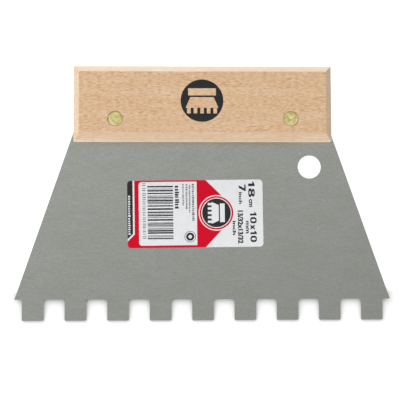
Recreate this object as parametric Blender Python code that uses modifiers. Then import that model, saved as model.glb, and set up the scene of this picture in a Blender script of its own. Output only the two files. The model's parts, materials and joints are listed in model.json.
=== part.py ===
"""Notched trowel: a toothed steel blade riveted into a beech handle.

The tool is built flat, in its own plane: x runs across the blade, y from the tooth tips
to the handle, and z out of the printed front face. An empty then tips it into the pose
in which it lies on a table, on its tooth tips and on the back of its handle.
Units are metres, +Z up.
"""

import math

import bmesh
import bpy
from mathutils import Matrix, Vector

# Blade: one sheet of steel whose tang is hidden in the handle
BLADE_WIDTH = 0.180  # at the notch roots, its widest line
BLADE_REACH = 0.085  # tooth tips to the handle's lower edge
BLADE_THICKNESS = 0.0008
NOTCH_WIDTH = 0.010
NOTCH_DEPTH = 0.010
TOOTH_WIDTH = 0.0103
TOOTH_CORNER = 0.0005
TANG_LENGTH = 0.019
SHOULDER_OVERHANG = 0.0022  # how far the blade stands out past each end of the handle
HANGING_HOLE = 0.0112  # diameter
HOLE_DROP = 0.0114  # hole's centre below the handle's lower edge
HOLE_INSET = 0.0162  # hole's centre from the blade's slanting side, along x

# Handle: one block of beech with a saw kerf for the tang
HANDLE_LENGTH = 0.1235
HANDLE_HEIGHT = 0.0365
HANDLE_THICKNESS = 0.020
CHAMFER = 0.0026  # depth of every chamfer, and its width at the top and the ends
LOWER_CHAMFER = 0.00475  # width of the chamfer beside the blade
EDGE_ROUND = 0.0005
KERF_END = 0.0005  # free space past the end of the tang

# Rivets: each a sleeve from the front and a pin from the back, pressed together
RIVET_SPACING = 0.084
RIVET_RISE = 0.0108  # rivets' centres above the handle's lower edge
HEAD_DIAMETER = 0.007
HEAD_THICKNESS = 0.0009
HEAD_CHAMFER = 0.0002
HEAD_RECESS = 0.0002  # heads lie this far below the wood
SLEEVE_DIAMETER = 0.004
SLEEVE_WALL = 0.0007
SLEEVE_FLOOR = 0.003  # solid length under the sleeve's head

# Label stuck on the blade's front
LABEL_LENGTH = 0.0652
LABEL_HEIGHT = 0.0324
LABEL_THICKNESS = 0.00015
LABEL_CORNER = 0.0017
LABEL_SHIFT = -0.0037  # its centre's x
LABEL_DROP = 0.0337  # its centre below the handle's lower edge
LABEL_TURN = math.radians(0.6)

FIT_GAP = 0.0003  # between pieces that touch
CUT_PAST = 0.002  # how far a cutter runs past what it cuts
ROUND_STEPS = 40
CORNER_STEPS = 4
MERGE = 0.00001
FLAT_ANGLE = math.radians(0.1)

BORE_RADIUS = SLEEVE_DIAMETER / 2 + FIT_GAP
POCKET_RADIUS = HEAD_DIAMETER / 2 + FIT_GAP
HEAD_TOP = HANDLE_THICKNESS / 2 - HEAD_RECESS
HEAD_SEAT = HEAD_TOP - HEAD_THICKNESS
POCKET_FLOOR = HEAD_SEAT - FIT_GAP


def clear_scene():
    for obj in list(bpy.data.objects):
        bpy.data.objects.remove(obj, do_unlink=True)


def new_collection(name):
    collection = bpy.data.collections.new(name)
    bpy.context.scene.collection.children.link(collection)
    return collection


def paint(obj, colour, roughness, metallic):
    material = bpy.data.materials.new(obj.name)
    material.use_nodes = True
    shader = material.node_tree.nodes["Principled BSDF"]
    shader.inputs["Base Color"].default_value = (*colour, 1.0)
    shader.inputs["Roughness"].default_value = roughness
    shader.inputs["Metallic"].default_value = metallic
    obj.data.materials.clear()
    obj.data.materials.append(material)


def add_mesh(name, mesh, collection, parent, place=(0, 0, 0)):
    obj = bpy.data.objects.new(name, mesh)
    collection.objects.link(obj)
    obj.parent = parent
    obj.location = place
    return obj


def as_cutter(obj):
    obj.hide_render = True
    obj.display_type = "WIRE"
    return obj


def cut(obj, cutter):
    modifier = obj.modifiers.new("cut by " + cutter.name, "BOOLEAN")
    modifier.operation = "DIFFERENCE"
    modifier.solver = "EXACT"
    modifier.object = cutter


def round_corner(corner, arriving, leaving, radius):
    """Points of the arc on a square corner, between an edge that arrives and one that leaves."""
    corner, back, ahead = Vector(corner), -Vector(arriving), Vector(leaving)
    centre = corner + radius * (back + ahead)
    angles = [math.pi / 2 * step / CORNER_STEPS for step in range(CORNER_STEPS + 1)]
    return [centre - radius * (ahead * math.cos(a) + back * math.sin(a)) for a in angles]


def close_with_single_caps(form):
    """Draws the two flat caps of an extruded plate again, as one face each."""
    caps = [face for face in form.faces if len({vert.co.z > 0 for vert in face.verts}) == 1]
    bmesh.ops.delete(form, geom=caps, context="FACES")
    bmesh.ops.holes_fill(form, edges=form.edges)
    bmesh.ops.recalc_face_normals(form, faces=form.faces)


def plate_mesh(name, outline, thickness):
    """Mesh of a flat plate, centred on z = 0, from its outline."""
    curve = bpy.data.curves.new(name, "CURVE")
    curve.dimensions = "2D"
    curve.fill_mode = "BOTH"
    curve.extrude = thickness / 2
    spline = curve.splines.new("POLY")
    spline.points.add(len(outline) - 1)
    for point, (x, y) in zip(spline.points, outline):
        point.co = (x, y, 0, 1)
    spline.use_cyclic_u = True
    drawn = bpy.data.objects.new(name, curve)
    bpy.context.scene.collection.objects.link(drawn)
    evaluated = drawn.evaluated_get(bpy.context.evaluated_depsgraph_get())
    mesh = bpy.data.meshes.new_from_object(evaluated)
    mesh.name = name
    bpy.data.objects.remove(drawn)
    bpy.data.curves.remove(curve)
    form = bmesh.new()
    form.from_mesh(mesh)
    bmesh.ops.remove_doubles(form, verts=form.verts, dist=MERGE)
    close_with_single_caps(form)
    form.to_mesh(mesh)
    form.free()
    return mesh


def turned(name, profile, collection, parent, place):
    """Turned piece about z, from (radius, z) points that run down its outer side."""
    mesh = bpy.data.meshes.new(name)
    form = bmesh.new()
    points = [form.verts.new((radius, 0, z)) for radius, z in profile]
    for first, second in zip(points, points[1:]):
        form.edges.new((first, second))
    form.to_mesh(mesh)
    form.free()
    obj = add_mesh(name, mesh, collection, parent, place)
    screw = obj.modifiers.new("turn", "SCREW")
    screw.steps = ROUND_STEPS
    screw.render_steps = ROUND_STEPS
    screw.use_smooth_shade = True
    screw.use_merge_vertices = True
    screw.merge_threshold = MERGE
    return obj


def half_width(y):
    """Half of the blade's width at height y, on its straight slanting side."""
    shoulder = HANDLE_LENGTH / 2 + SHOULDER_OVERHANG
    slope = (BLADE_WIDTH / 2 - shoulder) / (BLADE_REACH - NOTCH_DEPTH)
    return BLADE_WIDTH / 2 - slope * (y - NOTCH_DEPTH)


def tooth_edges():
    """Left and right x of each tooth: as many as the width holds, centred."""
    pitch = NOTCH_WIDTH + TOOTH_WIDTH
    count = int((BLADE_WIDTH + NOTCH_WIDTH) // pitch)
    first = -(count - 1) * pitch / 2 - TOOTH_WIDTH / 2
    return [(first + i * pitch, first + i * pitch + TOOTH_WIDTH) for i in range(count)]


def blade_outline():
    right, up = (1, 0), (0, 1)
    outline = [(-BLADE_WIDTH / 2, NOTCH_DEPTH)]
    for left_x, right_x in tooth_edges():
        outline.append((left_x, NOTCH_DEPTH))
        outline += round_corner((left_x, 0), (0, -1), right, TOOTH_CORNER)
        outline += round_corner((right_x, 0), right, up, TOOTH_CORNER)
        outline.append((right_x, NOTCH_DEPTH))
    outline.append((BLADE_WIDTH / 2, NOTCH_DEPTH))
    tang_end = BLADE_REACH + TANG_LENGTH
    outline.append((half_width(tang_end), tang_end))
    outline.append((-half_width(tang_end), tang_end))
    return outline


def make_blade(parts, parent, rivet_cutters, hole_cutter):
    mesh = plate_mesh("blade", blade_outline(), BLADE_THICKNESS)
    blade = add_mesh("blade", mesh, parts, parent)
    for cutter in [*rivet_cutters, hole_cutter]:
        cut(blade, cutter)
    paint(blade, (0.31, 0.31, 0.29), 0.42, 1.0)
    return blade


def make_hole_cutter(cutters, parent):
    y = BLADE_REACH - HOLE_DROP
    mesh = bpy.data.meshes.new("hanging_hole_cutter")
    form = bmesh.new()
    bmesh.ops.create_cone(
        form,
        cap_ends=True,
        segments=ROUND_STEPS,
        radius1=HANGING_HOLE / 2,
        radius2=HANGING_HOLE / 2,
        depth=BLADE_THICKNESS + 2 * CUT_PAST,
    )
    form.to_mesh(mesh)
    form.free()
    place = (half_width(y) - HOLE_INSET, y, 0)
    return as_cutter(add_mesh("hanging_hole_cutter", mesh, cutters, parent, place))


def make_kerf_cutter(cutters, parent):
    """Saw cut along the whole handle, open at its lower edge and at both ends."""
    depth = TANG_LENGTH + KERF_END
    size = (
        HANDLE_LENGTH + 2 * CUT_PAST,
        depth + CUT_PAST,
        BLADE_THICKNESS + 2 * FIT_GAP,
    )
    mesh = bpy.data.meshes.new("kerf_cutter")
    form = bmesh.new()
    bmesh.ops.create_cube(form, size=1.0, matrix=Matrix.Diagonal((*size, 1.0)))
    form.to_mesh(mesh)
    form.free()
    place = (0, BLADE_REACH + (depth - CUT_PAST) / 2, 0)
    return as_cutter(add_mesh("kerf_cutter", mesh, cutters, parent, place))


def handle_block():
    """Block with a chamfer round its front and its back, wider beside the blade."""
    waist = HANDLE_THICKNESS / 2 - CHAMFER
    outer_x = HANDLE_LENGTH / 2
    low = BLADE_REACH
    high = BLADE_REACH + HANDLE_HEIGHT
    levels = (
        (waist, outer_x, low, high),
        (HANDLE_THICKNESS / 2, outer_x - CHAMFER, low + LOWER_CHAMFER, high - CHAMFER),
    )
    mesh = bpy.data.meshes.new("handle")
    form = bmesh.new()
    for z, x, y_low, y_high in levels:
        for side in (-1, 1):
            for end in (-1, 1):
                form.verts.new((end * x, y_low, side * z))
                form.verts.new((end * x, y_high, side * z))
    bmesh.ops.convex_hull(form, input=form.verts)
    bmesh.ops.dissolve_limit(
        form, angle_limit=FLAT_ANGLE, verts=form.verts, edges=form.edges
    )
    form.to_mesh(mesh)
    form.free()
    return mesh


def make_handle(parts, parent, rivet_cutters, kerf_cutter):
    handle = add_mesh("handle", handle_block(), parts, parent)
    rounding = handle.modifiers.new("round edges", "BEVEL")
    rounding.width = EDGE_ROUND
    rounding.segments = 3
    rounding.limit_method = "ANGLE"
    cut(handle, kerf_cutter)
    for cutter in rivet_cutters:
        cut(handle, cutter)
    paint(handle, (0.64, 0.42, 0.26), 0.55, 0.0)
    return handle


def rivet_places():
    y = BLADE_REACH + RIVET_RISE
    return {"left": (-RIVET_SPACING / 2, y, 0), "right": (RIVET_SPACING / 2, y, 0)}


def make_rivet_cutter(side, place, cutters, parent):
    """Bore through the handle and the tang, with a pocket for a head on each face."""
    outside = HANDLE_THICKNESS / 2 + CUT_PAST
    profile = [
        (0, outside),
        (POCKET_RADIUS, outside),
        (POCKET_RADIUS, POCKET_FLOOR),
        (BORE_RADIUS, POCKET_FLOOR),
        (BORE_RADIUS, -POCKET_FLOOR),
        (POCKET_RADIUS, -POCKET_FLOOR),
        (POCKET_RADIUS, -outside),
        (0, -outside),
    ]
    return as_cutter(turned(f"rivet_{side}_cutter", profile, cutters, parent, place))


def head_profile():
    """A flat head with a broken edge, from its middle down to its seat."""
    radius = HEAD_DIAMETER / 2
    return [
        (0, HEAD_TOP),
        (radius - HEAD_CHAMFER, HEAD_TOP),
        (radius, HEAD_TOP - HEAD_CHAMFER),
        (radius, HEAD_SEAT),
    ]


def make_rivet(side, place, parts, parent):
    """Sleeve with its head in front, and the pin in it with its head at the back."""
    outer_radius = SLEEVE_DIAMETER / 2
    inner_radius = outer_radius - SLEEVE_WALL
    pin_radius = inner_radius - FIT_GAP
    sleeve_end = -HEAD_SEAT + FIT_GAP
    bore_end = HEAD_SEAT - SLEEVE_FLOOR
    sleeve_profile = head_profile() + [
        (outer_radius, HEAD_SEAT),
        (outer_radius, sleeve_end),
        (inner_radius, sleeve_end),
        (inner_radius, bore_end),
        (0, bore_end),
    ]
    pin_end = bore_end - FIT_GAP
    pin_profile = [(0, pin_end), (pin_radius, pin_end), (pin_radius, -HEAD_SEAT)]
    pin_profile += [(radius, -z) for radius, z in reversed(head_profile())]
    sleeve = turned(f"rivet_{side}_sleeve", sleeve_profile, parts, parent, place)
    pin = turned(f"rivet_{side}_pin", pin_profile, parts, parent, place)
    for piece in (sleeve, pin):
        paint(piece, (0.62, 0.53, 0.22), 0.3, 1.0)
    return [sleeve, pin]


def label_outline():
    x, y = LABEL_LENGTH / 2, LABEL_HEIGHT / 2
    right, up, left, down = (1, 0), (0, 1), (-1, 0), (0, -1)
    outline = round_corner((-x, -y), down, right, LABEL_CORNER)
    outline += round_corner((x, -y), right, up, LABEL_CORNER)
    outline += round_corner((x, y), up, left, LABEL_CORNER)
    outline += round_corner((-x, y), left, down, LABEL_CORNER)
    return outline


def make_label(parts, parent):
    mesh = plate_mesh("label_sticker", label_outline(), LABEL_THICKNESS)
    z = BLADE_THICKNESS / 2 + FIT_GAP + LABEL_THICKNESS / 2
    place = (LABEL_SHIFT, BLADE_REACH - LABEL_DROP, z)
    label = add_mesh("label_sticker", mesh, parts, parent, place)
    label.rotation_euler = (0, 0, LABEL_TURN)
    paint(label, (0.80, 0.81, 0.82), 0.35, 0.0)
    return label


def lay_on_table(tilt, pieces):
    """Tips the tool onto its tooth tips and its handle's back, centred over the origin."""
    drop = (HANDLE_THICKNESS - BLADE_THICKNESS) / 2
    tilt.rotation_euler = (math.atan2(drop, BLADE_REACH + LOWER_CHAMFER), 0, 0)
    bpy.context.view_layer.update()
    graph = bpy.context.evaluated_depsgraph_get()
    corners = []
    for piece in pieces:
        evaluated = piece.evaluated_get(graph)
        mesh = evaluated.to_mesh()
        corners += [evaluated.matrix_world @ vertex.co for vertex in mesh.vertices]
        evaluated.to_mesh_clear()
    lows = [min(corner[axis] for corner in corners) for axis in range(3)]
    highs = [max(corner[axis] for corner in corners) for axis in range(3)]
    tilt.location = (-(lows[0] + highs[0]) / 2, -(lows[1] + highs[1]) / 2, -lows[2])


def main():
    clear_scene()
    parts = new_collection("notched_trowel")
    cutters = new_collection("cutters")
    tilt = bpy.data.objects.new("resting_tilt", None)
    parts.objects.link(tilt)
    places = rivet_places()
    rivet_cutters = [
        make_rivet_cutter(side, place, cutters, tilt) for side, place in places.items()
    ]
    pieces = [
        make_blade(parts, tilt, rivet_cutters, make_hole_cutter(cutters, tilt)),
        make_handle(parts, tilt, rivet_cutters, make_kerf_cutter(cutters, tilt)),
        make_label(parts, tilt),
    ]
    for side, place in places.items():
        pieces += make_rivet(side, place, parts, tilt)
    lay_on_table(tilt, pieces)


main()
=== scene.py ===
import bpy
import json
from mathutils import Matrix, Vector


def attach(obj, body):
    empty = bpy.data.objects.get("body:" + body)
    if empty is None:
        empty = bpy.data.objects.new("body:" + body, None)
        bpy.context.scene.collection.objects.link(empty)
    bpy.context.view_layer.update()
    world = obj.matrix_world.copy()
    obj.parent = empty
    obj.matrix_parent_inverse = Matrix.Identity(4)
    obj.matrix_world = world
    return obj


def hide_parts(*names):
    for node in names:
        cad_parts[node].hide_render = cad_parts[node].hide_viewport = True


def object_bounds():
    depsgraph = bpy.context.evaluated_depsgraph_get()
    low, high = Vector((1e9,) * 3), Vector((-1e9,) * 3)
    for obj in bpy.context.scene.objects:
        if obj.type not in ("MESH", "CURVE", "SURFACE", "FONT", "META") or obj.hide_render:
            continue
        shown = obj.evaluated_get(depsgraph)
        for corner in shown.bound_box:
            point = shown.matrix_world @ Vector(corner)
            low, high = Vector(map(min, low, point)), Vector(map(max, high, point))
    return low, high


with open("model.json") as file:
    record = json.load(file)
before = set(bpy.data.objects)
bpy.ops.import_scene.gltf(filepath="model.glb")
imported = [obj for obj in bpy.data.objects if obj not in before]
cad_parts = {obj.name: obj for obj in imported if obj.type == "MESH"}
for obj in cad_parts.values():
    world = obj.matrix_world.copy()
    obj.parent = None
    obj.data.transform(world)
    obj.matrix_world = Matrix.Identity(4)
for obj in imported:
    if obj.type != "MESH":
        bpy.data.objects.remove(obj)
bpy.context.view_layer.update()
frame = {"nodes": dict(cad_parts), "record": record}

import json
import math

import bmesh
import bpy
from mathutils import Matrix, Vector
from mathutils.geometry import delaunay_2d_cdt

scene = bpy.context.scene


# ------------------------------------------------------------------ table, light and camera
# A white light box for a table, whose glow is painted light. Its glow is dimmed only round the
# teeth and fades out close to them, a painted shade, so that just their tight shadows show.
# The white room is brighter behind the tool than in front. A soft window of light stands at the
# back left and a low soft fill in front.
TABLE_SIZE = 6.0
TABLE_WHITE = 0.5
TABLE_ROUGHNESS = 0.9
BOX_GLOW = 0.82
TEETH_GLOW = 0.5
SHADE_REACH = 0.0045  # how far from the teeth their soft shade reaches
SHADE_DEEPEST = 0.25  # the openness, from 0 to 1, at which the table has lost all its glow
DIM_FROM = (-0.108, -0.096)  # left and front edges of the dimmed patch
DIM_TO = (0.108, -0.0506)  # its right edge, and its back edge under the roots of the notches
DIM_FADE = (0.02, 0.006)  # how wide it fades, to the sides and to the front and back
ROOM_BRIGHTEST = 208.0  # degrees, with 0 at the tool's front and 270 on its left
ROOM_BACK = 0.95
ROOM_FRONT = 0.57
ROOM_BLEND = 0.25  # how gradually the bright half turns into the dim one
LAMP_AWAY = 1.5
LAMP_SIZE = 0.8
WINDOW_AROUND = 225.0
WINDOW_ABOVE = 26.0
WINDOW_POWER = 13.0
FILL_AROUND = 345.0
FILL_ABOVE = 13.0
FILL_POWER = 16.5
CAMERA_AROUND = -12.8
CAMERA_ABOVE = 79.08
CAMERA_TURN = 0.5
CAMERA_AWAY = 0.708
CAMERA_LENS = 132.6
CAMERA_AIM = (-0.0013, -0.0037, -0.0035)  # from the middle of the tool


def direction(around, above):
    """Unit vector towards what stands that many degrees round the tool and above it."""
    around, above = math.radians(around), math.radians(above)
    level = Vector((math.sin(around), -math.cos(around), 0))
    return level * math.cos(above) + Vector((0, 0, math.sin(above)))


def node(tree, kind, inputs=(), **settings):
    """A new node with its settings, and its inputs, each given a value or an output."""
    made = tree.nodes.new(kind)
    for setting, value in settings.items():
        setattr(made, setting, value)
    for key, value in dict(inputs).items():
        if isinstance(value, bpy.types.NodeSocket):
            tree.links.new(value, made.inputs[key])
        else:
            made.inputs[key].default_value = value
    return made


def maths(tree, operation, *values):
    return node(tree, "ShaderNodeMath", enumerate(values), operation=operation).outputs[0]


def vectors(tree, operation, *values):
    """Arithmetic on vectors: the outputs, Vector or Value."""
    return node(tree, "ShaderNodeVectorMath", enumerate(values), operation=operation).outputs


def ranged(tree, *ranges, **settings):
    """A value moved from the range between two others to the next two, and held inside it."""
    return node(tree, "ShaderNodeMapRange", enumerate(ranges), **settings).outputs[0]


def finish_of(name):
    """A new material, its node tree and its shader."""
    material = bpy.data.materials.new(name)
    material.use_nodes = True
    return material, material.node_tree, material.node_tree.nodes["Principled BSDF"]


def mesh_of(form, name):
    """A new mesh of what the form holds; the form itself is freed."""
    mesh = bpy.data.meshes.new(name)
    form.to_mesh(mesh)
    form.free()
    return mesh


def lay_table():
    form = bmesh.new()
    bmesh.ops.create_grid(form, x_segments=1, y_segments=1, size=TABLE_SIZE / 2)
    mesh = mesh_of(form, "table")
    material, tree, shader = finish_of("white_paper")
    shader.inputs["Base Color"].default_value = (TABLE_WHITE, TABLE_WHITE, TABLE_WHITE, 1)
    shader.inputs["Roughness"].default_value = TABLE_ROUGHNESS
    shader.inputs["Emission Color"].default_value = (1, 1, 1, 1)
    place = node(tree, "ShaderNodeTexCoord").outputs["Object"]
    # painted shade: the glow fades where the teeth hide the table from the room round it
    openness = node(tree, "ShaderNodeAmbientOcclusion", {"Distance": SHADE_REACH}).outputs["AO"]
    glow = ranged(tree, openness, SHADE_DEEPEST, 1.0, 0.0, TEETH_GLOW)
    for axis, fade, edges in zip("XY", DIM_FADE, zip(DIM_FROM, DIM_TO)):
        along = node(tree, "ShaderNodeSeparateXYZ", {0: place}).outputs[axis]
        for edge, outwards in zip(edges, (-1, 1)):
            beyond = ranged(tree, along, edge, edge + outwards * fade, 0.0, BOX_GLOW)
            glow = maths(tree, "MAXIMUM", glow, beyond)
    tree.links.new(glow, shader.inputs["Emission Strength"])
    mesh.materials.append(material)
    table = bpy.data.objects.new("table", mesh)
    scene.collection.objects.link(table)


def light_room(middle):
    world = bpy.data.worlds.new("white_room")
    scene.world = world
    world.use_nodes = True
    tree = world.node_tree
    facing = node(tree, "ShaderNodeTexCoord").outputs["Generated"]
    towards_back = vectors(tree, "DOT_PRODUCT", facing, direction(ROOM_BRIGHTEST, 0))["Value"]
    blend = (-ROOM_BLEND, ROOM_BLEND, ROOM_FRONT, ROOM_BACK)
    strength = ranged(tree, towards_back, *blend, interpolation_type="SMOOTHSTEP")
    tree.nodes["Background"].inputs["Color"].default_value = (1, 1, 1, 1)
    tree.links.new(strength, tree.nodes["Background"].inputs["Strength"])
    stand_lamp("window", middle, WINDOW_AROUND, WINDOW_ABOVE, WINDOW_POWER)
    stand_lamp("fill", middle, FILL_AROUND, FILL_ABOVE, FILL_POWER)


def stand_lamp(name, middle, around, above, power):
    light = bpy.data.lights.new(name, "AREA")
    light.shape = "SQUARE"
    light.size = LAMP_SIZE
    light.energy = power
    lamp = bpy.data.objects.new(name, light)
    towards = direction(around, above)
    lamp.location = middle + towards * LAMP_AWAY
    lamp.rotation_euler = towards.to_track_quat("Z", "Y").to_euler()
    lamp.visible_glossy = False  # a diffused lamp, which metal doesn't mirror as a bright square
    scene.collection.objects.link(lamp)


def set_camera(middle):
    camera = bpy.data.objects.new("camera", bpy.data.cameras.new("camera"))
    camera.data.lens = CAMERA_LENS
    back = direction(CAMERA_AROUND, CAMERA_ABOVE)
    level = Vector((0, 1, 0)).cross(back).normalized()
    right = Matrix.Rotation(math.radians(-CAMERA_TURN), 3, back) @ level
    turned = Matrix((right, back.cross(right), back)).transposed().to_4x4()
    place = middle + Vector(CAMERA_AIM) + back * CAMERA_AWAY
    camera.matrix_world = Matrix.Translation(place) @ turned
    scene.collection.objects.link(camera)
    scene.camera = camera


low_corner, high_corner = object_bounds()
tool_middle = (low_corner + high_corner) / 2
scene.view_settings.view_transform = "Standard"
lay_table()
light_room(tool_middle)
set_camera(tool_middle)


# ---------------------------------------------------------------------------------- blade
# One sheet of cold-rolled steel, blanked with nine square teeth and a hole to hang it by,
# tumbled so that its edges are broken, and left bare and matt. Its tang runs up into the
# handle, where two rivets pass through it.
MM = 0.001
SAME_PLACE = 0.001  # points closer than this, in millimetres, are one
ROUND_STEPS = 64
TOOTH_COUNT = 9
TOOTH_WIDTH = 10.3
NOTCH_WIDTH = 10.0
NOTCH_DEPTH = 10.0
TOOTH_CORNER = 0.5
ROOT_CORNER = 0.15
SHOULDER_OVERHANG = 2.2  # how far the blade stands out past the handle's ends
HANGING_HOLE = 11.2  # across
HOLE_DROP = 11.4  # from the handle to the hole's centre
HOLE_INSET = 16.2  # from the slanted side to the hole's centre
RIVET_BORE = 2.3  # radius
SHEET_THICKNESS = 0.8
BROKEN_EDGE = 0.04
BROKEN_EDGE_ANGLE = math.radians(50)
FINE_ANGLE = math.radians(30)
STEEL_SHEEN = (0.23, 0.17)
STEEL_RELIEF = (0.2, 0.00003)
STEEL_DARK = (0.382, 0.394, 0.363, 1)
STEEL_LIGHT = (0.472, 0.484, 0.452, 1)
STEEL_DIMMING = (0.955, 0.955, 0.945, 1)
STEEL_BARED = (0.70, 0.71, 0.69, 1)
GRAIN_SIZE = (2.2, 0.55, 0.8)
FINE_GRAIN_SIZE = (0.8, 0.5, 0.5)
CLOUD_SIZE = (18, 9, 20)
SPECK_SPACING = (4, 3, 4)
SCRATCH_SIZE = (9.0, 0.22, 0.6)
SCRATCH_TURN = math.radians(-28)


def box_of(points):
    """Lowest and highest corner of some points."""
    lowest = [min(point[axis] for point in points) for axis in range(3)]
    highest = [max(point[axis] for point in points) for axis in range(3)]
    return Vector(lowest), Vector(highest)


def own_frame():
    """From the tool's own plane, in millimetres, to how it lies on the table, in metres."""
    mounts = {mount["name"]: mount for mount in frame["record"]["mounts"]}
    outwards = mounts["handle_front_face"]["axis"]
    tilt = math.atan2(-outwards[1], outwards[2])
    turn = Matrix.Rotation(tilt, 4, "X")
    upright = turn.inverted()
    low, high = box_of([upright @ vertex.co for vertex in frame["nodes"]["blade"].data.vertices])
    start = Vector(((low.x + high.x) / 2, low.y, (low.z + high.z) / 2))
    return turn @ Matrix.Translation(start) @ Matrix.Scale(MM, 4), tilt


def own_box(name):
    """Lowest and highest corner of a CAD piece in the tool's own plane, in millimetres."""
    into = as_it_lies.inverted()
    return box_of([into @ vertex.co for vertex in frame["nodes"][name].data.vertices])


def new_growth(name, **sizes):
    """A Geometry Nodes tree with a shape and named sizes as its inputs, and a shape out."""
    tree = bpy.data.node_groups.new(name, "GeometryNodeTree")
    tree.interface.new_socket("shape", in_out="INPUT", socket_type="NodeSocketGeometry")
    tree.interface.new_socket("shape", in_out="OUTPUT", socket_type="NodeSocketGeometry")
    for size, kind in sizes.items():
        tree.interface.new_socket(size, in_out="INPUT", socket_type="NodeSocket" + kind)
    return tree, tree.nodes.new("NodeGroupInput").outputs


def end_growth(tree, shape, material):
    real = node(tree, "GeometryNodeRealizeInstances", {"Geometry": shape})
    painted = node(
        tree,
        "GeometryNodeSetMaterial",
        {"Geometry": real.outputs["Geometry"], "Material": material},
    )
    node(tree, "NodeGroupOutput", {"shape": painted.outputs["Geometry"]})


def plain_mesh(obj):
    """The object's mesh with its modifiers worked in; the object itself is removed."""
    evaluated = obj.evaluated_get(bpy.context.evaluated_depsgraph_get())
    mesh = bpy.data.meshes.new_from_object(evaluated)
    mesh.name = obj.name
    bpy.data.objects.remove(obj)
    return mesh


def working_object(name, mesh):
    obj = bpy.data.objects.new(name, mesh)
    scene.collection.objects.link(obj)
    return obj


def grown(tree, host=None, **sizes):
    """The plain mesh that a Geometry Nodes tree makes with these sizes."""
    obj = working_object(tree.name, host or bpy.data.meshes.new(tree.name))
    modifier = obj.modifiers.new(tree.name, "NODES")
    modifier.node_group = tree
    for item in tree.interface.items_tree:
        if item.in_out == "INPUT" and item.name in sizes:
            modifier[item.identifier] = sizes[item.name]
    return plain_mesh(obj)


def notched_blank_growth():
    """Flat trapezoid with a row of square teeth along its lower edge.

    Its outline is one line of points: the left root, four points for each tooth, the right
    root and the two top corners. The shape that comes in is a set of rings, which are cut
    out as holes.
    """
    tree, size = new_growth(
        "notched_blank",
        teeth="Int",
        tooth="Float",
        notch="Float",
        depth="Float",
        root_width="Float",
        top_width="Float",
        height="Float",
        tooth_corner="Float",
        root_corner="Float",
        material="Material",
    )
    wave_end = maths(tree, "ADD", maths(tree, "MULTIPLY", size["teeth"], 4), 1)
    count = maths(tree, "ADD", wave_end, 3)
    line = node(tree, "GeometryNodeMeshLine", {"Count": count})
    index = node(tree, "GeometryNodeInputIndex").outputs[0]
    step = maths(tree, "SUBTRACT", index, 1)
    tooth = maths(tree, "FLOOR", maths(tree, "DIVIDE", step, 4))
    phase = maths(tree, "SUBTRACT", step, maths(tree, "MULTIPLY", tooth, 4))
    far_side = maths(tree, "GREATER_THAN", phase, 1.5)
    from_middle = maths(tree, "ABSOLUTE", maths(tree, "SUBTRACT", phase, 1.5))
    at_root = maths(tree, "GREATER_THAN", from_middle, 1)
    pitch = maths(tree, "ADD", size["tooth"], size["notch"])
    spread = maths(tree, "MULTIPLY", maths(tree, "SUBTRACT", size["teeth"], 1), pitch)
    first = maths(tree, "MULTIPLY", maths(tree, "ADD", spread, size["tooth"]), -0.5)
    x = maths(tree, "MULTIPLY_ADD", tooth, pitch, first)
    x = maths(tree, "MULTIPLY_ADD", far_side, size["tooth"], x)
    y = maths(tree, "MULTIPLY", at_root, size["depth"])
    half_root = maths(tree, "MULTIPLY", size["root_width"], 0.5)
    half_top = maths(tree, "MULTIPLY", size["top_width"], 0.5)
    corners = (
        (0, maths(tree, "MULTIPLY", half_root, -1), size["depth"]),
        (wave_end, half_root, size["depth"]),
        (maths(tree, "ADD", wave_end, 1), half_top, size["height"]),
        (maths(tree, "ADD", wave_end, 2), maths(tree, "MULTIPLY", half_top, -1), size["height"]),
    )
    for number, corner_x, corner_y in corners:
        here = maths(tree, "COMPARE", index, number, 0.1)
        x = node(
            tree, "GeometryNodeSwitch", {0: here, 1: x, 2: corner_x}, input_type="FLOAT"
        ).outputs[0]
        y = node(
            tree, "GeometryNodeSwitch", {0: here, 1: y, 2: corner_y}, input_type="FLOAT"
        ).outputs[0]
    place = node(tree, "ShaderNodeCombineXYZ", {"X": x, "Y": y}).outputs[0]
    placed = node(
        tree,
        "GeometryNodeSetPosition",
        {"Geometry": line.outputs["Mesh"], "Position": place},
    )
    outline = node(tree, "GeometryNodeMeshToCurve", {"Mesh": placed.outputs["Geometry"]})
    closed = node(
        tree,
        "GeometryNodeSetSplineCyclic",
        {"Geometry": outline.outputs["Curve"], "Cyclic": True},
    )
    position = node(tree, "GeometryNodeInputPosition").outputs[0]
    above_tips = node(tree, "ShaderNodeSeparateXYZ", {0: position}).outputs["Y"]
    at_tip = maths(tree, "LESS_THAN", above_tips, SAME_PLACE)
    radius = node(
        tree,
        "GeometryNodeSwitch",
        {0: at_tip, 1: size["root_corner"], 2: size["tooth_corner"]},
        input_type="FLOAT",
    )
    rounded = node(
        tree,
        "GeometryNodeFilletCurve",
        {"Curve": closed.outputs["Geometry"], "Count": 4, "Radius": radius.outputs[0]},
        mode="POLY",
    )
    rings = node(tree, "GeometryNodeMeshToCurve", {"Mesh": size["shape"]})
    joined = node(tree, "GeometryNodeJoinGeometry", {"Geometry": rounded.outputs["Curve"]})
    tree.links.new(rings.outputs["Curve"], joined.inputs["Geometry"])
    filled = node(
        tree, "GeometryNodeFillCurve", {"Curve": joined.outputs["Geometry"]}, mode="NGONS"
    )
    end_growth(tree, filled.outputs["Mesh"], size["material"])
    return tree


def rings_mesh(name, rings):
    """Circles of edges, from (x, y, radius)."""
    form = bmesh.new()
    for x, y, radius in rings:
        bmesh.ops.create_circle(
            form, segments=ROUND_STEPS, radius=radius, matrix=Matrix.Translation((x, y, 0))
        )
    return mesh_of(form, name)


def own_place(tree):
    """Object coordinates turned back into the tool's own plane, in millimetres."""
    held = node(tree, "ShaderNodeTexCoord").outputs["Object"]
    return node(
        tree,
        "ShaderNodeMapping",
        {
            "Vector": held,
            "Location": as_it_lies.translation,
            "Rotation": (rest_tilt, 0, 0),
            "Scale": (MM, MM, MM),
        },
        vector_type="TEXTURE",
    ).outputs[0]


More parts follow.
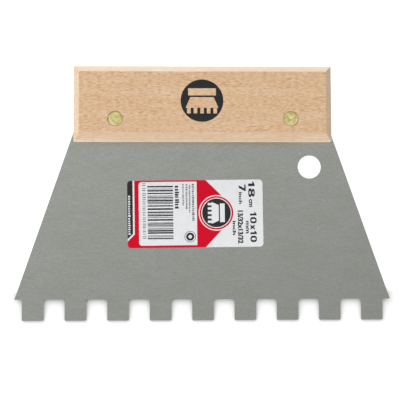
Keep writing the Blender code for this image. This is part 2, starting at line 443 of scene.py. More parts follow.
def stretched(tree, place, x, y, z):
    """The same place with a pattern's grain x, y and z millimetres long."""
    return node(
        tree,
        "ShaderNodeMapping",
        {"Vector": place, "Scale": (1 / x, 1 / y, 1 / z)},
        vector_type="POINT",
    ).outputs[0]


def cloudy(tree, place, detail):
    """Noise from 0 to 1 with one patch to each unit of the place."""
    return node(
        tree,
        "ShaderNodeTexNoise",
        {"Vector": place, "Scale": 1.0, "Detail": detail, "Roughness": 0.55},
    ).outputs["Fac"]


def blended(tree, share, first, second, blend="MIX"):
    return node(
        tree,
        "ShaderNodeMix",
        {0: share, 6: first, 7: second},
        data_type="RGBA",
        blend_type=blend,
    ).outputs[2]


def dress(tree, shader, colour, roughness, height, relief):
    """Links a shader's colour and roughness, and its relief: strength, and depth in metres."""
    bump = {"Height": height, "Strength": relief[0], "Distance": relief[1]}
    tree.links.new(colour, shader.inputs["Base Color"])
    tree.links.new(roughness, shader.inputs["Roughness"])
    tree.links.new(node(tree, "ShaderNodeBump", bump).outputs[0], shader.inputs["Normal"])


def bare_steel():
    """Matt steel: a short grain across the blade, faint clouds, specks and a few scratches."""
    material, tree, shader = finish_of("bare_steel")
    place = own_place(tree)
    grain = cloudy(tree, stretched(tree, place, *GRAIN_SIZE), detail=2)
    fine = cloudy(tree, stretched(tree, place, *FINE_GRAIN_SIZE), detail=1)
    clouds = cloudy(tree, stretched(tree, place, *CLOUD_SIZE), detail=2)
    turned = node(
        tree, "ShaderNodeMapping", {"Vector": place, "Rotation": (0, 0, SCRATCH_TURN)}
    ).outputs[0]
    tone = maths(tree, "MULTIPLY", maths(tree, "ADD", grain, fine), 0.5)
    colour = blended(tree, ranged(tree, tone, 0.32, 0.68, 0, 1), STEEL_DARK, STEEL_LIGHT)
    dimmed = blended(tree, 1.0, colour, STEEL_DIMMING, "MULTIPLY")
    colour = blended(tree, ranged(tree, clouds, 0.35, 0.65, 0, 1), dimmed, colour)
    specks = node(
        tree,
        "ShaderNodeTexVoronoi",
        {"Vector": stretched(tree, place, *SPECK_SPACING), "Scale": 1.0},
    )
    size = node(tree, "ShaderNodeSeparateColor", {0: specks.outputs["Color"]}).outputs[0]
    speck = maths(
        tree,
        "MULTIPLY",
        ranged(tree, specks.outputs["Distance"], 0.05, 0.11, 1, 0),
        ranged(tree, size, 0.5, 1.0, 0, 0.5),
    )
    scratches = cloudy(tree, stretched(tree, turned, *SCRATCH_SIZE), detail=1)
    scratch = ranged(tree, scratches, 0.72, 0.79, 0, 0.45)
    worn = maths(tree, "MAXIMUM", speck, scratch)
    colour = blended(tree, worn, colour, STEEL_BARED)
    shader.inputs["Metallic"].default_value = 1.0
    dress(tree, shader, colour, ranged(tree, tone, 0.25, 0.75, *STEEL_SHEEN), tone, STEEL_RELIEF)
    return material


def placed_piece(name, mesh, node_names):
    """Lays a mesh where the tool lies, as a piece that stands for these CAD nodes."""
    mesh.transform(as_it_lies)
    piece = working_object(name, mesh)
    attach(piece, "root")
    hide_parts(*node_names)


def soften(obj, width, segments, angle):
    rounding = obj.modifiers.new("broken edges", "BEVEL")
    rounding.width = width
    rounding.segments = segments
    rounding.limit_method = "ANGLE"
    rounding.angle_limit = angle


def even_shading(obj):
    obj.modifiers.new("even shading", "WEIGHTED_NORMAL").keep_sharp = True


as_it_lies, rest_tilt = own_frame()
blade_high = own_box("blade")[1]
handle_low, handle_high = own_box("handle")
rivet_boxes = {side: own_box(f"rivet_{side}_sleeve") for side in ("left", "right")}
rivet_places = {side: (low + high) / 2 for side, (low, high) in rivet_boxes.items()}
shoulder_half = handle_high.x + SHOULDER_OVERHANG
side_slope = (blade_high.x - shoulder_half) / (handle_low.y - NOTCH_DEPTH)


def blade_half(y):
    """Half the blade's width at this height above the tooth tips."""
    return blade_high.x - side_slope * (y - NOTCH_DEPTH)


hole_y = handle_low.y - HOLE_DROP
hole_x = blade_half(hole_y) - HOLE_INSET
blade_rings = [(hole_x, hole_y, HANGING_HOLE / 2)]
blade_rings += [(place.x, place.y, RIVET_BORE) for place in rivet_places.values()]
notched_blank = notched_blank_growth()
blade_object = working_object(
    "toothed_blade",
    grown(
        notched_blank,
        host=rings_mesh("blade_holes", blade_rings),
        teeth=TOOTH_COUNT,
        tooth=TOOTH_WIDTH,
        notch=NOTCH_WIDTH,
        depth=NOTCH_DEPTH,
        root_width=blade_high.x * 2,
        top_width=blade_half(blade_high.y) * 2,
        height=blade_high.y,
        tooth_corner=TOOTH_CORNER,
        root_corner=ROOT_CORNER,
        material=bare_steel(),
    ),
)
sheet = blade_object.modifiers.new("sheet thickness", "SOLIDIFY")
sheet.thickness = SHEET_THICKNESS
sheet.offset = 0
soften(blade_object, BROKEN_EDGE, 2, BROKEN_EDGE_ANGLE)
even_shading(blade_object)
blade_object.data.shade_smooth()
placed_piece("toothed_blade", plain_mesh(blade_object), ["blade"])


# --------------------------------------------------------------------------------- handle
# One block of steamed beech, moulded with a chamfer all round its front and its back, a wide
# crowned one beside the blade, sanded and given a thin matt lacquer. A saw kerf takes the
# tang, and its mark is a stencil in black ink, pressed into the wood's front.
CHAMFER = 2.6
TOP_CHAMFER = 3.0
LOWER_CHAMFER = {1: 4.3, -1: 4.75}  # on the front and on the back
CROWN = 0.45  # how far the middle of the lower chamfer stands out
HANDLE_EDGE = 0.3
HANDLE_EDGE_ANGLE = math.radians(15)
KERF_DEPTH = 19.5
KERF_WIDTH = 0.95
PLANED_OFF = 0.25  # taken off the face beside the blade
LOWER_FACE_LEAN = 0.4  # how much deeper that face is where it meets the kerf
CUT_PAST = 2.0  # how far a cutter reaches out of the wood
HEAD_THICKNESS = 0.9  # of a rivet
POCKET_CLEARANCE = 0.1
MARK_RADIUS = 10.2
MARK_SHIFT = (-0.5, 1.2)  # from the middle of the handle
MARK_DEPTH = 0.03
SIGN_OUTSIDE = 8.6  # radius of the disc that the sign is drawn in
FACE_WOOD, PLANED_WOOD_AND_SHEEN, TOP_WOOD_AND_HIGHLIGHT, END_GRAIN, WOOD_BESIDE_BLADE_PAINTED_LIGHT = range(5)
PITH = (0, 30, -70)  # the middle of the tree, from the tooth tips
SWAY_SIZE = (26, 9, 14)
SWAY = (0, 3.2, 1.5)
SMUDGE_SIZE = (4.5, 2.2, 4.0)
WOOD_SHEEN = (0.55, 0.40)
WOOD_RELIEF = (0.15, 0.00005)
WOOD_GLOSS = 0.4
GRAIN_TINT = (0.91, 0.80, 0.67)
GAP_TINT = (1.04, 1.09, 1.17)
FLECK_TINT = (0.78, 0.52, 0.32)
SMUDGE_TINT = (0.92, 0.74, 0.60)
INK_DARK = (0.016, 0.016, 0.017, 1)
INK_LIGHT = (0.026, 0.026, 0.027, 1)
INK_SHEEN = (0.62, 0.5)
INK_RELIEF = (0.3, 0.00004)
INK_GLOSS = 0.15
FIBRE_SIZE = (3.0, 0.3, 0.3)
WHOLE_FACES = 4  # how a sheet is cut up: each cell is a face with no hole in it
SAME_CORNER = 0.0005
RING_SPACING = 3.2
FLECK_SIZE = (2.2, 0.34, 1.5)
PORE_SIZE = (9.0, 0.42, 0.5)
FIGURE_SIZE = (60, 5, 20)


def handle_block():
    """Convex block from its waist, the crown of its lower chamfer, and its flat faces."""
    waist = handle_high.z - CHAMFER
    form = bmesh.new()
    for face, lower in LOWER_CHAMFER.items():
        slant = math.atan2(CHAMFER, lower)
        crown_out = CHAMFER / 2 + CROWN * math.cos(slant)
        crown_up = lower / 2 - CROWN * math.sin(slant)
        low = handle_low.y
        high = handle_high.y
        levels = (
            (waist, handle_high.x, low + PLANED_OFF, high),
            (
                waist + crown_out,
                handle_high.x - crown_out,
                low + PLANED_OFF + crown_up,
                high - crown_out,
            ),
            (handle_high.z, handle_high.x - CHAMFER, low + lower, high - TOP_CHAMFER),
        )
        for z, x, y_low, y_high in levels:
            for end in (-1, 1):
                form.verts.new((end * x, y_low, face * z))
                form.verts.new((end * x, y_high, face * z))
    bmesh.ops.convex_hull(form, input=form.verts)
    bmesh.ops.dissolve_limit(
        form, angle_limit=math.radians(0.5), verts=form.verts, edges=form.edges
    )
    form.normal_update()
    for face in form.faces:
        if abs(face.normal.x) > 0.5:
            face.material_index = END_GRAIN
        elif face.normal.y < -0.9:
            face.material_index = WOOD_BESIDE_BLADE_PAINTED_LIGHT
        elif face.normal.y > 0.5:
            face.material_index = TOP_WOOD_AND_HIGHLIGHT
        elif face.normal.y < -0.2:
            face.material_index = PLANED_WOOD_AND_SHEEN
        else:
            face.material_index = FACE_WOOD
    return mesh_of(form, "handle_block")


def box_mesh(name, lows, highs):
    form = bmesh.new()
    middle = (Vector(lows) + Vector(highs)) / 2
    size = Vector(highs) - Vector(lows)
    bmesh.ops.create_cube(
        form, size=1, matrix=Matrix.Translation(middle) @ Matrix.Diagonal((*size, 1))
    )
    return mesh_of(form, name)


def turned_mesh(name, profile, place):
    """Turned solid about z, from (radius, z) points that run down its outer side."""
    form = bmesh.new()
    points = [form.verts.new((radius, 0, z)) for radius, z in profile]
    for first, second in zip(points, points[1:]):
        form.edges.new((first, second))
    bmesh.ops.spin(
        form,
        geom=form.verts[:] + form.edges[:],
        cent=(0, 0, 0),
        axis=(0, 0, 1),
        angle=math.tau,
        steps=ROUND_STEPS,
        use_merge=True,
    )
    bmesh.ops.remove_doubles(form, verts=form.verts, dist=SAME_PLACE)
    bmesh.ops.recalc_face_normals(form, faces=form.faces)
    bmesh.ops.translate(form, verts=form.verts, vec=place)
    return mesh_of(form, name)


def cut_away(obj, cutter_mesh, keep_ink=False):
    """Cuts a shape out of a working object; the cut can keep the cutter's own finish."""
    cutter = working_object(cutter_mesh.name, cutter_mesh)
    cut = obj.modifiers.new("cut " + cutter.name, "BOOLEAN")
    cut.operation = "DIFFERENCE"
    cut.object = cutter
    if keep_ink:
        cut.material_mode = "TRANSFER"
    name = obj.name
    mesh = plain_mesh(obj)
    bpy.data.objects.remove(cutter)
    return working_object(name, mesh)


def circle_shape(x, y, radius, steps=72):
    """A disc's outline, anticlockwise."""
    return [
        (x + radius * math.cos(math.tau * i / steps), y + radius * math.sin(math.tau * i / steps))
        for i in range(steps)
    ]


def shapes_of(mesh, place=Matrix.Identity(4)):
    """The outlines of a flat mesh's faces, each anticlockwise."""
    shapes = []
    for face in mesh.polygons:
        corners = [place @ mesh.vertices[number].co for number in face.vertices]
        ends = zip(corners, corners[1:] + corners[:1])
        area = sum(first.x * second.y - second.x * first.y for first, second in ends)
        flat = [(corner.x, corner.y) for corner in corners]
        shapes.append(flat if area > 0 else flat[::-1])
    return shapes


def printed_sheet(name, layers):
    """One flat sheet from stacked layers of (ink, shapes), the lowest first.

    The first shape is the sheet's edge. Each area takes the ink of the topmost shape that
    covers it, and an area whose ink is None is left open.
    """
    points, faces, inks = [], [], []
    for ink, shapes in layers:
        for shape in shapes:
            faces.append(list(range(len(points), len(points) + len(shape))))
            points += [Vector(point) for point in shape]
            inks.append(ink)
    cut_up = delaunay_2d_cdt(points, [], faces, WHOLE_FACES, SAME_CORNER)
    places, cells, covers = cut_up[0], cut_up[2], cut_up[5]
    form = bmesh.new()
    corners = [form.verts.new((place.x, place.y, 0)) for place in places]
    for cell, covering in zip(cells, covers):
        if 0 in covering and inks[max(covering)] is not None:
            face = form.faces.new([corners[number] for number in cell])
            face.material_index = inks[max(covering)]
    unused = [corner for corner in form.verts if not corner.link_faces]
    bmesh.ops.delete(form, geom=unused, context="VERTS")
    return mesh_of(form, name)


def trowel_sign(scale, place, turn=0.0):
    """Outlines of a plain picture of a notched spreader: a toothed plate under a bar."""
    turned = Matrix.Rotation(turn, 4, "Z") @ Matrix.Scale(scale, 4)
    into = Matrix.Translation((*place, 0)) @ turned
    plate = grown(
        notched_blank,
        teeth=5,
        tooth=1.45,
        notch=1.2,
        depth=2.3,
        root_width=13.2,
        top_width=9.4,
        height=6.6,
        tooth_corner=0.12,
        root_corner=0.05,
    )
    plate_shapes = shapes_of(plate, into @ Matrix.Translation((0, -5.2, 0)))
    bar = box_mesh("sign_bar", (-5.6, 2.1, 0), (5.6, 5.0, 0.1))
    bar_top = [face for face in shapes_of(bar, into) if abs(spanned(face)) > 1]
    return plate_shapes + bar_top[:1]


def spanned(shape):
    """Area inside an outline."""
    ends = zip(shape, shape[1:] + shape[:1])
    return sum(first[0] * second[1] - second[0] * first[1] for first, second in ends) / 2


def toned(colour, tint):
    return (*(value * share for value, share in zip(colour, tint)), 1)


def beech(name, light, flecks_show, smudges_show):
    """Beech cut along its grain: faint growth rings, fine pores and short dark ray flecks.

    The light colour is that of the wood between them. The last two say, from 0 to 1, how much
    its flecks and its darker smudges show.
    """
    material, tree, shader = finish_of(name)
    place = own_place(tree)
    sway = node(
        tree,
        "ShaderNodeTexNoise",
        {"Vector": stretched(tree, place, *SWAY_SIZE), "Scale": 1.0, "Detail": 2.0},
    )
    shift = vectors(tree, "MULTIPLY", sway.outputs["Color"], SWAY)["Vector"]
    wavy = vectors(tree, "ADD", place, shift)["Vector"]
    from_pith = vectors(tree, "SUBTRACT", wavy, PITH)["Vector"]
    across = vectors(tree, "MULTIPLY", from_pith, (0, 1, 1))["Vector"]
    radius = vectors(tree, "LENGTH", across)["Value"]
    rings = node(
        tree,
        "ShaderNodeTexNoise",
        {"W": maths(tree, "DIVIDE", radius, RING_SPACING), "Scale": 1.0, "Detail": 2.0},
        noise_dimensions="1D",
    ).outputs["Fac"]
    flecks = cloudy(tree, stretched(tree, wavy, *FLECK_SIZE), detail=2)
    pores = cloudy(tree, stretched(tree, wavy, *PORE_SIZE), detail=1)
    figure = cloudy(tree, stretched(tree, wavy, *FIGURE_SIZE), detail=2)
    smudges = cloudy(tree, stretched(tree, place, *SMUDGE_SIZE), detail=1)
    fleck = maths(tree, "MULTIPLY", ranged(tree, flecks, 0.555, 0.615, 0, 1), flecks_show)
    gap = maths(tree, "MULTIPLY", ranged(tree, flecks, 0.36, 0.54, 1, 0), flecks_show)
    smudge = maths(tree, "MULTIPLY", ranged(tree, smudges, 0.58, 0.66, 0, 1), smudges_show)
    banded = maths(
        tree,
        "MULTIPLY_ADD",
        ranged(tree, rings, 0.3, 0.7, 0, 1),
        0.4,
        ranged(tree, figure, 0.40, 0.62, 0, 1),
    )
    amount = maths(
        tree,
        "MULTIPLY_ADD",
        ranged(tree, pores, 0.35, 0.65, 0, 1),
        0.8,
        maths(tree, "MULTIPLY", banded, 0.9),
    )
    colour = blended(tree, amount, (*light, 1), toned(light, GRAIN_TINT))
    colour = blended(tree, gap, colour, toned(light, GAP_TINT))
    colour = blended(tree, fleck, colour, toned(light, FLECK_TINT))
    colour = blended(tree, smudge, colour, toned(light, SMUDGE_TINT))
    shader.inputs["Specular IOR Level"].default_value = WOOD_GLOSS
    height = maths(tree, "SUBTRACT", maths(tree, "MULTIPLY", pores, 0.5), fleck)
    dress(tree, shader, colour, ranged(tree, pores, 0.3, 0.7, *WOOD_SHEEN), height, WOOD_RELIEF)
    return material


def black_ink():
    """Stencil ink that has sunk into the wood: nearly black, with the fibres showing."""
    material, tree, shader = finish_of("stencil_ink")
    place = own_place(tree)
    fibres = cloudy(tree, stretched(tree, place, *FIBRE_SIZE), detail=2)
    colour = blended(tree, ranged(tree, fibres, 0.3, 0.75, 0, 1), INK_DARK, INK_LIGHT)
    shader.inputs["Specular IOR Level"].default_value = INK_GLOSS
    dress(tree, shader, colour, ranged(tree, fibres, 0.3, 0.7, *INK_SHEEN), fibres, INK_RELIEF)
    return material


handle_middle = (handle_low + handle_high) / 2
mark_place = (handle_middle.x + MARK_SHIFT[0], handle_middle.y + MARK_SHIFT[1])
head_radius = (rivet_boxes["left"][1].x - rivet_boxes["left"][0].x) / 2
head_top = rivet_boxes["left"][1].z
handle_object = working_object("beech_handle", handle_block())
for name, light, flecks_show, smudges_show in (
    ("beech_face", (0.638, 0.466, 0.312), 0.72, 0.0),
    # the crowned lower chamfer: sanded paler wood with its smudges, and partly a painted sheen
    ("beech_planed_and_painted_sheen", (0.650, 0.530, 0.410), 0.25, 1.0),
    # the top and its chamfer: planed paler wood, and partly a painted highlight where light falls
    # from above
    ("beech_top_and_painted_highlight", (0.745, 0.668, 0.588), 0.15, 0.0),
    ("beech_end_grain", (0.600, 0.502, 0.392), 0.4, 0.0),
    # the face beside the blade: painted light, made pale so that it and its reflection in the
    # steel under the handle look brightly lit
    ("beech_beside_blade_painted_light", (0.86, 0.80, 0.74), 0.15, 0.0),
):
    handle_object.data.materials.append(beech(name, light, flecks_show, smudges_show))
soften(handle_object, HANDLE_EDGE, 4, HANDLE_EDGE_ANGLE)
handle_object = cut_away(
    handle_object,
    box_mesh(
        "kerf",
        (handle_low.x - CUT_PAST, handle_low.y - CUT_PAST, -KERF_WIDTH / 2),
        (handle_high.x + CUT_PAST, handle_low.y + KERF_DEPTH, KERF_WIDTH / 2),
    ),
)
for vertex in handle_object.data.vertices:
    if abs(vertex.co.z) < KERF_WIDTH and vertex.co.y < handle_low.y + 1:
        vertex.co.y += LOWER_FACE_LEAN
for side, place in rivet_places.items():
    pocket_floor = head_top - HEAD_THICKNESS - POCKET_CLEARANCE
    pocket = head_radius + POCKET_CLEARANCE
    outside = handle_high.z + CUT_PAST
    bore_profile = [(0, outside), (pocket, outside), (pocket, pocket_floor)]
    bore_profile += [(RIVET_BORE, pocket_floor), (RIVET_BORE, -pocket_floor)]
    bore_profile += [(pocket, -pocket_floor), (pocket, -outside), (0, -outside)]
    handle_object = cut_away(
        handle_object, turned_mesh(f"{side}_bore", bore_profile, (place.x, place.y, 0))
    )
stamp_sheet = printed_sheet(
    "stencil",
    [
        (0, [circle_shape(*mark_place, MARK_RADIUS)]),
        (None, trowel_sign(MARK_RADIUS / SIGN_OUTSIDE, mark_place)),
    ],
)
stamp_sheet.materials.append(black_ink())
stamp_sheet.transform(Matrix.Translation((0, 0, handle_high.z - MARK_DEPTH)))
stamp = working_object("stencil", stamp_sheet)
raise_stamp = stamp.modifiers.new("stencil thickness", "SOLIDIFY")
raise_stamp.thickness = CUT_PAST
raise_stamp.offset = 1
handle_object = cut_away(handle_object, plain_mesh(stamp), keep_ink=True)
handle_object.data.shade_smooth()
handle_object.data.set_sharp_from_angle(angle=FINE_ANGLE)
even_shading(handle_object)
placed_piece("beech_handle", plain_mesh(handle_object), ["handle"])


# --------------------------------------------------------------------------------- rivets
# Each rivet is a pair of turned brass pieces: a sleeve whose head lies in the front of the
# handle, and a pin pressed into it from the back. The turning tool has left rings on the
# heads and a small pip in the middle.
SLEEVE_OUTER = 2.0
SLEEVE_INNER = 1.3
PIN_RADIUS = 1.25
SLEEVE_FLOOR = 3.0
END_CLEARANCE = 0.1  # between the end of a half and what it faces
HEAD_EDGE = 0.25
HEAD_SHARP_ANGLE = math.radians(40)
RING_COUNT = 3
RING_POINTS = 8  # for each ring
RING_DEPTH = 0.09
PIP_RADIUS = 0.45
PIP_PROFILE = ((0, 0.02), (0.6, 0.03), (1, 0.1))  # share of its radius, and drop from the top
PIP_FOOT = 0.1
EDGE_STEPS = 4
BRASS_DULL = (0.62, 0.53, 0.17, 1)
BRASS_BRIGHT = (0.98, 0.88, 0.47, 1)
BRASS_SHEEN = (0.40, 0.26)
BRASS_RELIEF = (0.15, 0.00003)


def head_line():
    """The head's side from its middle out and down to its seat, with its turned rings."""
    line = [(PIP_RADIUS * share, head_top - drop) for share, drop in PIP_PROFILE]
    flat = head_radius - HEAD_EDGE
    start = PIP_RADIUS + PIP_FOOT
    steps = RING_COUNT * RING_POINTS
    for i in range(steps + 1):
        share = i / steps
        depth = RING_DEPTH * (0.5 - 0.5 * math.cos(math.tau * RING_COUNT * share))
        line.append((start + (flat - start) * share, head_top - depth))
    for i in range(1, EDGE_STEPS + 1):
        angle = math.pi / 2 * i / EDGE_STEPS
        drop = HEAD_EDGE * (1 - math.cos(angle))
        line.append((flat + HEAD_EDGE * math.sin(angle), head_top - drop))
    line.append((head_radius, head_top - HEAD_THICKNESS))
    return line


def turned_brass():
    """Yellow brass with the fine marks of the lathe, dulled in places."""
    material, tree, shader = finish_of("turned_brass")
    place = own_place(tree)
    dull = cloudy(tree, stretched(tree, place, 1.6, 1.6, 1.6), detail=3)
    fine = cloudy(tree, stretched(tree, place, 0.2, 0.2, 0.2), detail=1)
    colour = blended(tree, ranged(tree, dull, 0.35, 0.65, 0, 1), BRASS_DULL, BRASS_BRIGHT)
    shader.inputs["Metallic"].default_value = 1.0
    dress(tree, shader, colour, ranged(tree, dull, 0.3, 0.7, *BRASS_SHEEN), fine, BRASS_RELIEF)
    return material


brass = turned_brass()
head_seat = head_top - HEAD_THICKNESS
sleeve_end = -head_seat + END_CLEARANCE
bore_end = head_seat - SLEEVE_FLOOR
pin_end = bore_end - END_CLEARANCE
sleeve_line = head_line() + [
    (SLEEVE_OUTER, head_seat),
    (SLEEVE_OUTER, sleeve_end),
    (SLEEVE_INNER, sleeve_end),
    (SLEEVE_INNER, bore_end),
    (0, bore_end),
]
pin_line = [(0, pin_end), (PIN_RADIUS, pin_end), (PIN_RADIUS, -head_seat)]
pin_line += [(radius, -z) for radius, z in reversed(head_line())]
for side, place in rivet_places.items():
    for half, line in (("sleeve", sleeve_line), ("pin", pin_line)):
        mesh = turned_mesh(f"{side}_rivet_{half}", line, (place.x, place.y, 0))
        mesh.materials.append(brass)
        mesh.shade_smooth()
        mesh.set_sharp_from_angle(angle=HEAD_SHARP_ANGLE)
        placed_piece(f"{side}_rivet_{half}", mesh, [f"rivet_{side}_{half}"])


# ---------------------------------------------------------------------------------- label
# A white vinyl sticker, printed in red and black and stuck flat on the blade's front: a block
# of bars, lines of small print that can't be read, a round sign, and the sizes of the blade
# and of its notches.
LABEL_LENGTH = 65.2
LABEL_HEIGHT = 32.4
LABEL_CORNER = 1.7
LABEL_THICKNESS = 0.12
LABEL_LIFT = 0.01  # the glue under it
LABEL_TURN = math.radians(0.6)
LABEL_SHIFT = (0.15, -0.3)  # stuck on by hand, a little off its place
SIGN_PLACE = (10.2, 0.3)
SIGN_SCALE = 0.8
CORNER_STEPS = 8
FIGURE_SPACE = 0.16  # between two bold figures, as a share of a figure's breadth
SHEEN_SPREAD = 0.05
VINYL_RELIEF = (0.1, 0.00002)
VINYL_GLOSS = 0.06
MOTTLE_SIZE = (2.5, 2.5, 2.5)
DOT_SIZE = (0.3, 0.3, 0.3)
WHITE, RED, BLACK, GREY = range(4)


def stroke_growth():
    """A row of strokes, each of its own thickness and height, one under the other."""
    tree, size = new_growth(
        "stroke_row",
        strokes="Int",
        run="Float",
        height="Float",
        thinnest="Float",
        thickest="Float",
        least_gap="Float",
        most_gap="Float",
        shortest="Float",
        seed="Int",
        material="Material",
    )

    def chosen(low, high, number):
        seed = maths(tree, "ADD", size["seed"], number)
        return node(
            tree, "FunctionNodeRandomValue", {2: low, 3: high, 8: seed}, data_type="FLOAT"
        ).outputs[1]

    line = node(tree, "GeometryNodeMeshLine", {"Count": size["strokes"]})
    thickness = chosen(size["thinnest"], size["thickest"], 1)
    gap = chosen(size["least_gap"], size["most_gap"], 2)
    share = chosen(size["shortest"], 1.0, 3)
    pitch = maths(tree, "ADD", thickness, gap)
    sums = node(
        tree, "GeometryNodeAccumulateField", {0: pitch}, data_type="FLOAT", domain="POINT"
    ).outputs
    fit = maths(tree, "DIVIDE", size["run"], sums["Total"])
    drop = maths(
        tree,
        "MULTIPLY",
        maths(tree, "MULTIPLY_ADD", thickness, 0.5, sums["Trailing"]),
        maths(tree, "MULTIPLY", fit, -1),
    )
    height = maths(tree, "MULTIPLY", size["height"], share)
    place = node(
        tree, "ShaderNodeCombineXYZ", {"X": maths(tree, "MULTIPLY", height, 0.5), "Y": drop}
    ).outputs[0]
    placed = node(
        tree,
        "GeometryNodeSetPosition",
        {"Geometry": line.outputs["Mesh"], "Position": place},
    )
    bar = node(
        tree,
        "GeometryNodeMeshGrid",
        {"Size X": 1.0, "Size Y": 1.0, "Vertices X": 2, "Vertices Y": 2},
    )
    scale = node(
        tree,
        "ShaderNodeCombineXYZ",
        {"X": height, "Y": maths(tree, "MULTIPLY", thickness, fit), "Z": 1.0},
    ).outputs[0]
    rows = node(
        tree,
        "GeometryNodeInstanceOnPoints",
        {"Points": placed.outputs["Geometry"], "Instance": bar.outputs["Mesh"], "Scale": scale},
    )
    end_growth(tree, rows.outputs["Instances"], size["material"])
    return tree


def row_of_strokes(left, top, **sizes):
    return shapes_of(grown(stroke_row, **sizes), Matrix.Translation((left, top, 0)))


def small_print(left, top, run, height, seed, letters_a_mm=1.35):
    """A line of print that reads downwards, too small to be read."""
    return row_of_strokes(
        left,
        top,
        strokes=max(2, round(run * letters_a_mm)),
        run=run,
        height=height,
        thinnest=0.35,
        thickest=0.6,
        least_gap=0.12,
        most_gap=0.42,
        shortest=0.72,
        seed=seed,
    )


def figures(words, left, right, top, bottom, weight=0.035):
    """Lettering that reads downwards with its feet on the left, fitted into this box."""
    curve = bpy.data.curves.new("figures", "FONT")
    curve.body = words
    curve.offset = weight
    curve.resolution_u = 3
    obj = bpy.data.objects.new("figures", curve)
    scene.collection.objects.link(obj)
    mesh = plain_mesh(obj)
    lows = [min(vertex.co[axis] for vertex in mesh.vertices) for axis in (0, 1)]
    highs = [max(vertex.co[axis] for vertex in mesh.vertices) for axis in (0, 1)]
    fit = Matrix.Diagonal(
        ((top - bottom) / (highs[0] - lows[0]), (right - left) / (highs[1] - lows[1]), 1, 1)
    )
    down = Matrix.Rotation(-math.pi / 2, 4, "Z")
    to_corner = Matrix.Translation((left, top, 0))
    return shapes_of(mesh, to_corner @ down @ fit @ Matrix.Translation((-lows[0], -lows[1], 0)))


def oval(x, y, half_width, half_height, squareness=2.6, steps=40):
    """An oval's outline, fuller at its corners than an ellipse."""
    outline = []
    for i in range(steps):
        angle = math.tau * i / steps
        wide, high = math.cos(angle), math.sin(angle)
        outline.append(
            (
                x + half_width * math.copysign(abs(wide) ** (2 / squareness), wide),
                y + half_height * math.copysign(abs(high) ** (2 / squareness), high),
            )
        )
    return outline


def bold_figures(words, left, right, top, bottom):
    """Wide heavy figures, drawn here, that read downwards with their feet on the left."""
    drawn = {
        "0": ([oval(0.5, 0.5, 0.5, 0.5)], [oval(0.5, 0.5, 0.19, 0.31)], 1.0),
        "8": (
            [oval(0.5, 0.28, 0.5, 0.28), oval(0.5, 0.75, 0.44, 0.25)],
            [oval(0.5, 0.28, 0.19, 0.11), oval(0.5, 0.75, 0.16, 0.09)],
            1.0,
        ),
        "1": (
            [[(0.36, 0), (0.86, 0), (0.86, 1), (0.52, 1), (0, 0.78), (0, 0.58), (0.36, 0.7)]],
            [],
            0.6,
        ),
        "7": (
            [[(0.12, 0), (0.52, 0), (1, 0.8), (1, 1), (0, 1), (0, 0.78), (0.58, 0.78)]],
            [],
            1.0,
        ),
        "x": (
            [
                [(0, 0.02), (0.36, 0.02), (1, 0.68), (0.64, 0.68)],
                [(0.64, 0.02), (1, 0.02), (0.36, 0.68), (0, 0.68)],
            ],
            [],
            0.85,
        ),
    }
    length = sum(drawn[word][2] + FIGURE_SPACE for word in words) - FIGURE_SPACE
    wide, high = (top - bottom) / length, right - left
    solid, open_parts, start = [], [], 0
    for word in words:
        outlines, holes, breadth = drawn[word]
        for shapes, kept in ((outlines, solid), (holes, open_parts)):
            for shape in shapes:
                kept.append(
                    [(left + y * high, top - (start + x * breadth) * wide) for x, y in shape]
                )
        start += breadth + FIGURE_SPACE
    return [(BLACK, solid), (WHITE, open_parts)]


def rounded_rectangle(left, bottom, right, top, radii):
    """Outline whose corners, from the lower left anticlockwise, have these radii."""
    outline = []
    corners = (
        (left, bottom, 1, 1),
        (right, bottom, -1, 1),
        (right, top, -1, -1),
        (left, top, 1, -1),
    )
    for quarter, ((x, y, inwards_x, inwards_y), radius) in enumerate(zip(corners, radii)):
        if not radius:
            outline.append((x, y))
            continue
        for step in range(CORNER_STEPS + 1):
            angle = math.pi + math.pi / 2 * (quarter + step / CORNER_STEPS)
            outline.append(
                (
                    x + inwards_x * radius + radius * math.cos(angle),
                    y + inwards_y * radius + radius * math.sin(angle),
                )
            )
    return outline


def ink(name, colour, rough):
    """Printed vinyl: one colour with the faint unevenness of the print and a satin skin."""
    material, tree, shader = finish_of(name)
    place = own_place(tree)
    mottle = cloudy(tree, stretched(tree, place, *MOTTLE_SIZE), detail=3)
    dot = cloudy(tree, stretched(tree, place, *DOT_SIZE), detail=1)
    dim = [share * 0.95 for share in colour]
    shown = blended(tree, ranged(tree, mottle, 0.35, 0.65, 0, 1), (*dim, 1), (*colour, 1))
    sheen = ranged(tree, mottle, 0.3, 0.7, rough + SHEEN_SPREAD, rough - SHEEN_SPREAD)
    shader.inputs["Specular IOR Level"].default_value = VINYL_GLOSS
    dress(tree, shader, shown, sheen, dot, VINYL_RELIEF)
    return material


stroke_row = stroke_growth()
half_length, half_height = LABEL_LENGTH / 2, LABEL_HEIGHT / 2
label_edge = rounded_rectangle(
    -half_length, -half_height, half_length, half_height, [LABEL_CORNER] * 4
)
red_field = [
    (-29.2, 16.2),
    (-29.2, -9.6),
    (-32.6, -13.0),
    (-32.6, -16.2),
    (4.9, -16.2),
    (12.75, -7.9),
    (12.75, 8.6),
    (5.15, 16.2),
]
white_strokes = row_of_strokes(
    -32.2,
    9.0,
    strokes=17,
    run=19.0,
    height=1.1,
    thinnest=0.5,
    thickest=0.9,
    least_gap=0.25,
    most_gap=0.5,
    shortest=0.7,
    seed=3,
)
bars = row_of_strokes(
    -22.9,
    13.6,
    strokes=27,
    run=26.2,
    height=12.3,
    thinnest=0.18,
    thickest=0.75,
    least_gap=0.2,
    most_gap=0.7,
    shortest=1.0,
    seed=11,
)
figures_beside_bars = row_of_strokes(
    -25.3,
    14.9,
    strokes=26,
    run=27.0,
    height=1.7,
    thinnest=0.22,
    thickest=0.4,
    least_gap=0.3,
    most_gap=1.0,
    shortest=0.8,
    seed=21,
)
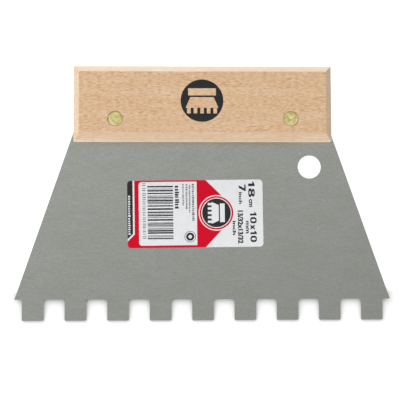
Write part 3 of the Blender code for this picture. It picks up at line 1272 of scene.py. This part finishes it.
layers = [
    # the paper, a black strip along one end, and a red field
    (WHITE, [label_edge]),
    (BLACK, [[(-32.6, -11.9), (-30.0, -9.3), (-30.0, 16.2), (-32.6, 16.2)]]),
    (RED, [red_field]),
    # a white panel, with bars and small print on it
    (WHITE, [rounded_rectangle(-27.1, -15.1, 0.8, 15.5, (1.4, 0, 0, 1.4))]),
    (WHITE, white_strokes),
    (BLACK, bars),
    (GREY, figures_beside_bars),
    (BLACK, small_print(-9.7, 13.6, 11.3, 2.0, 5, 0.8)),
    (GREY, small_print(-1.5, 14.4, 18.1, 1.2, 6, 1.1)),
    (GREY, small_print(-3.0, 13.9, 13.5, 0.8, 7)),
    (GREY, small_print(-4.5, 14.4, 12.3, 0.9, 8)),
    (GREY, small_print(-6.1, 14.4, 10.6, 0.8, 9)),
    # a plain ring in the panel's corner
    (BLACK, [circle_shape(-2.6, -11.0, 2.7)]),
    (WHITE, [circle_shape(-2.6, -11.0, 2.45)]),
    (BLACK, [circle_shape(-2.6, -11.0, 1.95)]),
    (WHITE, [circle_shape(-2.6, -11.0, 0.9)]),
    # the round sign, with the picture of a spreader
    (WHITE, [circle_shape(*SIGN_PLACE, SIGN_OUTSIDE)]),
    (RED, [circle_shape(*SIGN_PLACE, 8.1)]),
    (WHITE, [circle_shape(*SIGN_PLACE, 7.3)]),
    (BLACK, [circle_shape(*SIGN_PLACE, 6.9)]),
    (WHITE, trowel_sign(SIGN_SCALE, SIGN_PLACE, -math.pi / 2)),
    # the sizes of the blade and of its notches
    *bold_figures("18", 25.7, 28.8, 15.2, 7.7),
    (BLACK, figures("cm", 25.9, 27.5, 6.8, 2.9)),
    *bold_figures("10x10", 26.4, 29.5, 0.4, -14.0),
    (BLACK, figures("mm", 24.3, 25.6, -3.8, -9.8)),
    *bold_figures("7", 21.2, 24.5, 13.8, 10.7),
    (BLACK, figures("inch", 21.1, 22.7, 10.2, 4.4)),
    (BLACK, figures("13/32x13/32", 20.4, 23.0, 1.3, -14.6, 0.05)),
    (BLACK, figures("inch", 17.9, 19.5, -3.6, -10.5)),
]
label_mesh = printed_sheet("size_label", layers)
for name, colour, rough in (
    ("label_white", (0.695, 0.708, 0.722), 0.40),
    ("label_red", (0.56, 0.004, 0.022), 0.38),
    ("label_black", (0.028, 0.027, 0.026), 0.42),
    ("label_grey", (0.10, 0.10, 0.105), 0.42),
):
    label_mesh.materials.append(ink(name, colour, rough))
form = bmesh.new()
form.from_mesh(label_mesh)
rim = [edge for edge in form.edges if edge.is_boundary]
sides = bmesh.ops.extrude_edge_only(form, edges=rim)["geom"]
lower = [part for part in sides if isinstance(part, bmesh.types.BMVert)]
bmesh.ops.translate(form, verts=lower, vec=(0, 0, -LABEL_THICKNESS))
bmesh.ops.holes_fill(form, edges=[edge for edge in form.edges if edge.is_boundary])
bmesh.ops.recalc_face_normals(form, faces=form.faces)
form.to_mesh(label_mesh)
form.free()
label_low, label_high = own_box("label_sticker")
label_middle = (label_low + label_high) / 2
label_top = SHEET_THICKNESS / 2 + LABEL_LIFT + LABEL_THICKNESS
label_mesh.transform(
    Matrix.Translation(
        (label_middle.x + LABEL_SHIFT[0], label_middle.y + LABEL_SHIFT[1], label_top)
    )
    @ Matrix.Rotation(LABEL_TURN, 4, "Z")
)
placed_piece("size_label", label_mesh, ["label_sticker"])
